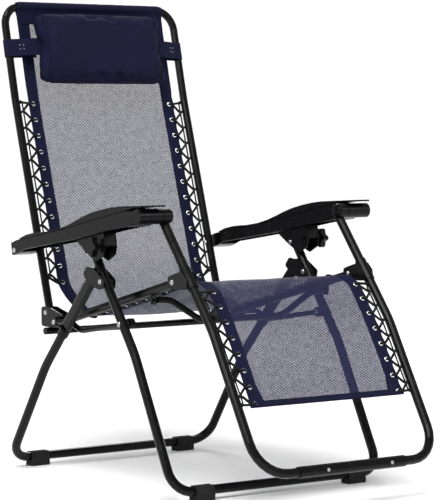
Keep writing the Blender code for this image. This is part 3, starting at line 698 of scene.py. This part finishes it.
def lofted(name, sections, us):
    """A closed cloth skin through like sections, one per place across the chair."""
    bm = bmesh.new()
    rings, cloth = [], []
    for section, u in zip(sections, us):
        rings.append([bm.verts.new(p) for p in section])
        run = 0.0
        for i, p in enumerate(section):
            run += (p - section[i - 1]).length if i else 0.0
            cloth.append((u, run, 0.0))
    count = len(sections[0])
    for a, b in zip(rings, rings[1:]):
        for i in range(count):
            j = (i + 1) % count
            bm.faces.new((a[i], a[j], b[j], b[i]))
    bm.faces.new(rings[0][::-1])
    bm.faces.new(rings[-1])
    bmesh.ops.recalc_face_normals(bm, faces=bm.faces)
    obj = piece(name, bm, HEM_CLOTH, cloth)
    obj.data.set_sharp_from_angle(angle=math.radians(50))
    return obj


BACK_DOWN = (BACK_BEND - BACK_TOP).normalized()
BACK_FRONT = Vector((-BACK_DOWN.y, BACK_DOWN.x))


def header():
    """The sleeve sewn round the top bar, and the double cloth below it.

    Each section runs over the bar from front to back, down the back and up the front. The
    sleeve follows the bar where its corners start to bend.
    """
    half, straight, bend = 0.2125, 0.198, 0.05
    down, front = BACK_DOWN, BACK_FRONT
    sections, us = [], steps(-half, half, 0.008)
    for u in us:
        over = max(0.0, abs(u) - straight)
        centre = BACK_TOP + down * (bend - math.sqrt(bend ** 2 - over ** 2))
        ripple = 0.0005 * noise.noise(Vector((u * 40, 1.0, 0.0)))
        low = 0.0440 + 0.0012 * noise.noise(Vector((u * 25, 5.0, 0.0)))
        radius = 0.0112 + ripple
        ring = []
        for k in range(15):
            turn = math.radians(-62 + 304 * k / 14)
            ring.append(centre + (down * -math.sin(turn) + front * math.cos(turn)) * radius)
        back_side = [(0.0170, -0.0034), (0.0240, -0.0019), (low, -0.0017)]
        front_side = [(low, 0.0021), (0.0240, 0.0024), (0.0170, 0.0038)]
        ring += [centre + down * d + front * n for d, n in back_side + front_side]
        sections.append([at(u, p) for p in ring])
    return lofted("header_sleeve", sections, us)


def hem():
    """The folded hem across the bottom of the leg panel."""
    half, sides = 0.2135, 12
    leg_down = at(0.0, (LEG_BAR - LEG_BEND).normalized())
    sections, us = [], steps(-half, half, 0.008)
    for u in us:
        ring = []
        for k in range(sides):
            turn = PI2 * k / sides
            along = LENGTH - 0.0065 + 0.0078 * math.cos(turn)
            lift = 0.0021 * math.sin(turn) * (1.25 if math.cos(turn) > 0.4 else 0.8)
            ring.append(cloth_at(u, min(along, LENGTH), lift)
                        + leg_down * max(0.0, along - LENGTH))
        sections.append(ring)
    return lofted("leg_hem", sections, us)


top_sleeve = header()
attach(top_sleeve, "back")
bottom_hem = hem()
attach(bottom_hem, "leg_rest")

for key, (panel, bands, rings) in sling.items():
    low, high = STRETCHES[key][:2]


# --------------------------------------------------------------------- pillow

PILLOW_AT = Vector((-0.4485, 0.9985))
PILLOW_HALF = 0.1800
PILLOW_TALL = 0.0860
PILLOW_SIDE = -0.0060
PILLOW_DEEP = 0.0300
PILLOW_BACK = 0.0235  # behind this it is pressed nearly flat against the sling
PILLOW_SEAM = 0.161  # the piping's place across the pillow


def pillow_point(x, out, down):
    """A point of the pillow, from its middle."""
    return at(x + PILLOW_SIDE, PILLOW_AT + BACK_FRONT * out + BACK_DOWN * down)


def blow_up(obj):
    """Fills the pillow by cloth pressure, and holds back any vertex that goes too far."""
    furthest, frames = 0.022, 20
    before = [v.co.copy() for v in obj.data.vertices]
    cloth = obj.modifiers.new("blow", "CLOTH")
    cloth.settings.use_pressure = True
    cloth.settings.uniform_pressure_force = 4.0
    cloth.settings.effector_weights.gravity = 0.0
    cloth.settings.quality = 5
    cloth.settings.tension_stiffness = 18
    cloth.settings.compression_stiffness = 12
    cloth.settings.bending_stiffness = 0.4
    scene = bpy.context.scene
    for number in range(1, frames + 1):
        scene.frame_set(number)
    apply_modifiers(obj)
    scene.frame_set(1)
    for v, rest in zip(obj.data.vertices, before):
        moved = v.co - rest
        if moved.length > furthest:
            v.co = rest + moved.normalized() * furthest


def pillow():
    """A stuffed bolster: a block blown up, drawn to its outline, then creased and seamed."""
    bm = bmesh.new()
    bmesh.ops.create_cube(bm, size=1.0)
    bmesh.ops.scale(bm, verts=bm.verts, vec=(0.352, 0.034, 0.158))
    bmesh.ops.bevel(bm, geom=bm.edges[:], offset=0.010, segments=3, affect="EDGES", profile=0.6)
    obj = piece("headrest_cushion", bm, PILLOW_CLOTH)
    remesh = obj.modifiers.new("remesh", "REMESH")
    remesh.mode = "VOXEL"
    remesh.voxel_size = 0.0055
    apply_modifiers(obj)
    blow_up(obj)
    wide, deep = (max(abs(v.co[i]) for v in obj.data.vertices) for i in range(2))
    columns = 24
    tall = [0.0] * (columns + 1)
    for v in obj.data.vertices:
        spot = round(columns * min(1.0, abs(v.co.x) / wide))
        tall[spot] = max(tall[spot], abs(v.co.z))
    for v in obj.data.vertices:
        x, y, z = v.co
        spot = columns * min(1.0, abs(x) / wide)
        low = min(int(spot), columns - 1)
        height = tall[low] + (tall[low + 1] - tall[low]) * (spot - low)
        rounded = spot / columns / 0.955 >= 1
        reach = PILLOW_TALL * height / (tall[columns - 1] if rounded else max(height, 0.01))
        v.co = (x * PILLOW_HALF / wide, y * (PILLOW_DEEP / deep), z * reach / max(height, 0.01))
        x, y, z = v.co
        end = max(0.0, (abs(x) - 0.135) / 0.0450)
        v.co.z *= 1 - 0.13 * end * end * (abs(z) / PILLOW_TALL)
        fold = math.sin(z * 150 + 4 * noise.noise(Vector((x * 12, y * 12, z * 12))))
        dent = 0.0014 * end * fold + 0.0011 * noise.noise(Vector((x * 16, 0, z * 22)))
        v.co.y += dent * (1 if y < 0 else 0.4)
        seam = math.exp(-((abs(x) - PILLOW_SEAM) / 0.0022) ** 2)
        v.co.y *= 1 - 0.055 * seam
        v.co.z *= 1 - 0.020 * seam
        if v.co.y > PILLOW_BACK:
            v.co.y = PILLOW_BACK + (v.co.y - PILLOW_BACK) * 0.25
    for v in obj.data.vertices:
        v.co = pillow_point(v.co.x, -v.co.y, -v.co.z)
    smooth = obj.modifiers.new("soft", "SUBSURF")
    smooth.levels = smooth.render_levels = 1
    apply_modifiers(obj)
    obj.data.shade_smooth()
    return obj


cushion = pillow()
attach(cushion, "back")
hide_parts("headrest_pillow")


def piping(word, side):
    """The corded seam round each end of the pillow."""
    sides = 40
    points = []
    for k in range(sides):
        turn = PI2 * k / sides
        c, s = math.cos(turn), math.sin(turn)
        out = math.copysign(abs(c) ** 0.75, c) * (0.0255 if c > 0 else 0.0205)
        down = math.copysign(abs(s) ** 0.62, s) * 0.0815
        points.append(pillow_point(side * (0.1615 + 0.002 * c), out, down))
    path = smooth_line(points + [points[0]], 3)
    return rope(f"pillow_piping_{word}", path, 0.0013, HEM_CLOTH)


def strap(word, side):
    """A flat band from the pillow's end, round the back tube and home behind it."""
    tube_at = on(BACK_BEND, BACK_TOP, 0.9975)
    down, front = BACK_DOWN, BACK_FRONT
    half_width, half_thick = 0.0205, 0.0008
    radius = BACK_TUBE + 0.0010
    plan = [(0.160, 0.027), (0.178, 0.0250), (0.196, 0.0215), (0.214, 0.0175), (0.232, 0.0130)]
    plan += [(BACK_TUBE_X + radius * math.sin(a), radius * math.cos(a))
             for a in [math.radians(d) for d in range(0, 181, 20)]]
    plan += [(0.234, -0.0090), (0.214, -0.0060), (0.196, -0.0040), (0.170, -0.0032)]
    line = smooth_line([Vector((x, n)) for x, n in plan], 3)
    outer, inner = [], []
    for i, p in enumerate(line):
        ahead = (line[min(i + 1, len(line) - 1)] - line[max(i - 1, 0)]).normalized()
        square = Vector((-ahead.y, ahead.x))
        outer.append(p + square * half_thick)
        inner.append(p - square * half_thick)
    bm = bmesh.new()
    cloth, rows = [], []
    for along in steps(-half_width, half_width, 0.004):
        row = []
        for i, p in enumerate(outer + inner[::-1]):
            ripple = 0.0006 * noise.noise(Vector((p.x * 60, along * 50, side * 4.0)))
            where = tube_at + down * along + front * (p.y + ripple)
            row.append(bm.verts.new(at(side * p.x, where)))
            cloth.append((along, i * 0.004, 0.0))
        rows.append(row)
    count = len(rows[0])
    for a, b in zip(rows, rows[1:]):
        for i in range(count):
            j = (i + 1) % count
            bm.faces.new((a[i], a[j], b[j], b[i]))
    bm.faces.new(rows[0][::-1])
    bm.faces.new(rows[-1])
    bmesh.ops.recalc_face_normals(bm, faces=bm.faces)
    obj = piece(f"pillow_strap_{word}", bm, STRAP_CLOTH, cloth)
    obj.data.set_sharp_from_angle(angle=math.radians(60))
    dots = bmesh.new()
    for du in (-0.0045, 0.0045):
        for dv in (-0.0050, 0.0050):
            spot = tube_at + down * dv + front * 0.0172
            grown = bmesh.ops.create_icosphere(dots, subdivisions=2, radius=0.0013)
            bmesh.ops.translate(dots, verts=grown["verts"],
                                vec=at(side * (0.2205 + du), spot - front * du * 0.28))
    tacks = piece(f"strap_tacks_{word}", dots, THREAD)
    return obj, tacks


for word, side in SIDES:
    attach(piping(word, side), "back")
    for obj in strap(word, side):
        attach(obj, "back")


# ------------------------------------------------------------- small hardware

def screw_head(name, centre, out, radius, body):
    """A domed cross-head screw, drawn with a radius of 1 and then scaled."""
    sides, slot_half, slot_reach, slot_deep = 24, 0.14, 0.7, 0.22
    bm = bmesh.new()
    profile = [(0.0, 0.55), (0.45, 0.50), (0.80, 0.34), (1.0, 0.10), (1.0, -0.1)]
    rows = []
    for r, z in profile:
        turns = [PI2 * k / sides for k in range(sides)]
        rows.append([bm.verts.new((r * math.cos(t), r * math.sin(t), z)) for t in turns]
                    if r else [bm.verts.new((0, 0, z))])
    for k in range(sides):
        j = (k + 1) % sides
        bm.faces.new((rows[0][0], rows[1][k], rows[1][j]))
        for a, b in zip(rows[1:], rows[2:]):
            bm.faces.new((a[k], b[k], b[j], a[j]))
    for v in bm.verts:
        cross = min(abs(v.co.x), abs(v.co.y))
        if cross < slot_half and v.co.xy.length < slot_reach:
            v.co.z -= slot_deep
        v.co *= radius
    bmesh.ops.recalc_face_normals(bm, faces=bm.faces)
    obj = piece(name, bm, BOLT_STEEL)
    obj.rotation_mode = "QUATERNION"
    obj.rotation_quaternion = out.to_track_quat("Z", "Y")
    obj.location = centre
    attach(obj, body)


foot_front = Vector((0.0, -1.0, 0.12)).normalized()
for i, x in enumerate((-0.074, 0.104)):
    screw_head(f"foot_sleeve_screw_{i + 1}", at(x, LEG_BAR) + foot_front * 0.0126, foot_front,
               0.0042, "leg_rest")


# ---------------------------------------------------------------- stage, light

def area(name, where, target, size, power, tall=None):
    """A rectangular light that faces a target."""
    light = bpy.data.lights.new(name, "AREA")
    light.shape = "RECTANGLE"
    light.size, light.size_y = size, tall or size
    light.energy = power
    obj = bpy.data.objects.new(name, light)
    bpy.context.scene.collection.objects.link(obj)
    obj.location = where
    obj.rotation_mode = "QUATERNION"
    obj.rotation_quaternion = (Vector(where) - Vector(target)).to_track_quat("Z", "Y")


bm = bmesh.new()
bmesh.ops.create_circle(bm, cap_ends=True, segments=96, radius=60.0)
floor = bpy.data.objects.new("studio_floor", bpy.data.meshes.new("studio_floor"))
bm.to_mesh(floor.data)
bm.free()
bpy.context.scene.collection.objects.link(floor)
plain = Shade("plain_pale_floor", (0.86, 0.86, 0.86), 0.6, Specular_IOR_Level=0.2)
floor.data.materials.append(plain.mat)

area("key", (-3.2, -2.0, 3.6), (0.0, 0.0, 0.5), 1.2, 60, 2.0)
area("fill", (2.6, -3.4, 2.6), (0.0, 0.0, 0.5), 1.4, 30)
area("rim", (1.8, 3.4, 3.0), (0.0, 0.0, 0.6), 1.8, 70)
sun = bpy.data.objects.new("soft_sun", bpy.data.lights.new("soft_sun", "SUN"))
sun.data.energy = 3.5
sun.data.angle = math.radians(32.0)
sun.rotation_euler = (math.radians(22.0), math.radians(-20.0), 0.0)
bpy.context.scene.collection.objects.link(sun)

# White all round, brighter low down than overhead.
world = bpy.data.worlds.new("studio")
bpy.context.scene.world = world
world.use_nodes = True
sky = world.node_tree
direction = sky.nodes.new("ShaderNodeSeparateXYZ")
sky.links.new(sky.nodes.new("ShaderNodeTexCoord").outputs["Generated"], direction.inputs[0])
fade = sky.nodes.new("ShaderNodeMapRange")
for key, value in (("From Min", 0.09), ("From Max", 0.22), ("To Min", 1.05), ("To Max", 0.34)):
    fade.inputs[key].default_value = value
sky.links.new(direction.outputs["Z"], fade.inputs["Value"])
sky.links.new(fade.outputs["Result"], sky.nodes["Background"].inputs["Strength"])
sky.nodes["Background"].inputs["Color"].default_value = (1.0, 1.0, 1.0, 1.0)
bpy.context.scene.view_settings.view_transform = "Standard"

# The photograph's own viewpoint, solved from the frame's known points.
camera = bpy.data.objects.new("camera", bpy.data.cameras.new("camera"))
bpy.context.scene.collection.objects.link(camera)
camera.location = (-3.2503, -4.3864, 0.8328)
camera.rotation_euler = [math.radians(a) for a in (86.8025, 0.0, -36.7004)]
camera.data.lens = 170.81
camera.data.sensor_width = 36.0
camera.data.clip_end = 200.0
bpy.context.scene.camera = camera
